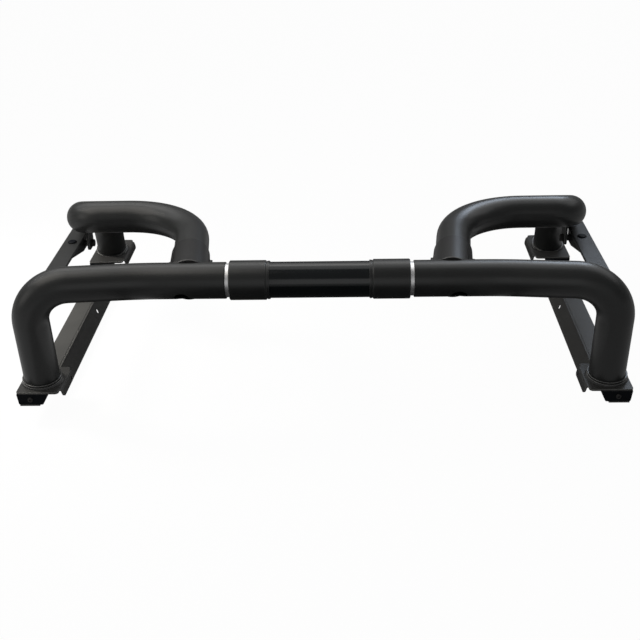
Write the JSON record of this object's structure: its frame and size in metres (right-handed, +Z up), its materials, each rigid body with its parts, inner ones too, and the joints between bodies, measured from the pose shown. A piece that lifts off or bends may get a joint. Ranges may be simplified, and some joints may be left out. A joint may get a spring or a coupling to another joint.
{
  "type": "truck bed sport bar",
  "caption": "Black tubular bar frame with a telescoping middle: swept main bar, bent rear legs, side straps and foot plates on long base rails.",
  "frame": {"origin": "middle of the base, on the floor, under the middle of the frame's outline", "axes": "+X to the right side frame along the main bar, +Y to the rear feet, +Z up"},
  "size_m": [1.296, 0.8644, 0.3405],
  "materials": {
    "satin_black": "satin powder coat",
    "gloss_black": "gloss",
    "chrome": "polished",
    "black_sheet": "satin powder coat",
    "black_block": "matte",
    "black_fastener": "black oxide",
    "black_plug": "satin",
    "bare_steel": "plain"
  },
  "bodies": {
    "centre": {"centre_tube": "gloss_black", "inner_tube": "chrome", "right_centre_collar": "satin_black", "left_centre_collar": "satin_black", "collar_set_screws": "black_fastener"},
    "right_frame": {"right_half_bar": "satin_black", "right_lock_screw": "black_fastener", "right_rear_tube": "satin_black", "right_sleeve": "satin_black", "right_rear_tube_plug": "bare_steel", "right_sleeve_nut": "bare_steel", "right_front_collar": "satin_black", "right_rear_collar": "satin_black", "right_front_plate": "black_sheet", "right_rear_plate": "black_sheet", "right_front_foot_block": "black_block", "right_rear_foot_block": "black_block", "right_foot_screws": "black_fastener", "right_base_rail": "black_sheet", "right_base_bolts": "black_fastener", "right_side_strap": "black_sheet", "right_strap_plug": "black_plug", "right_strap_lug": "black_sheet", "right_lug_bolt": "black_fastener"},
    "left_frame": {"left_half_bar": "satin_black", "left_lock_screw": "black_fastener", "left_rear_tube": "satin_black", "left_sleeve": "satin_black", "left_rear_tube_plug": "bare_steel", "left_sleeve_nut": "bare_steel", "left_front_collar": "satin_black", "left_rear_collar": "satin_black", "left_front_plate": "black_sheet", "left_rear_plate": "black_sheet", "left_front_foot_block": "black_block", "left_rear_foot_block": "black_block", "left_foot_screws": "black_fastener", "left_base_rail": "black_sheet", "left_base_bolts": "black_fastener", "left_side_strap": "black_sheet", "left_strap_plug": "black_plug", "left_strap_lug": "black_sheet", "left_lug_bolt": "black_fastener"}
  },
  "joints": [
    {"name": "right_extend", "type": "slide", "parent": "centre", "child": "right_frame", "axis": [1, 0, 0], "range_m": [-0.006, 0.03]},
    {"name": "left_extend", "type": "slide", "parent": "centre", "child": "left_frame", "axis": [-1, 0, 0], "range_m": [-0.006, 0.03]}
  ]
}
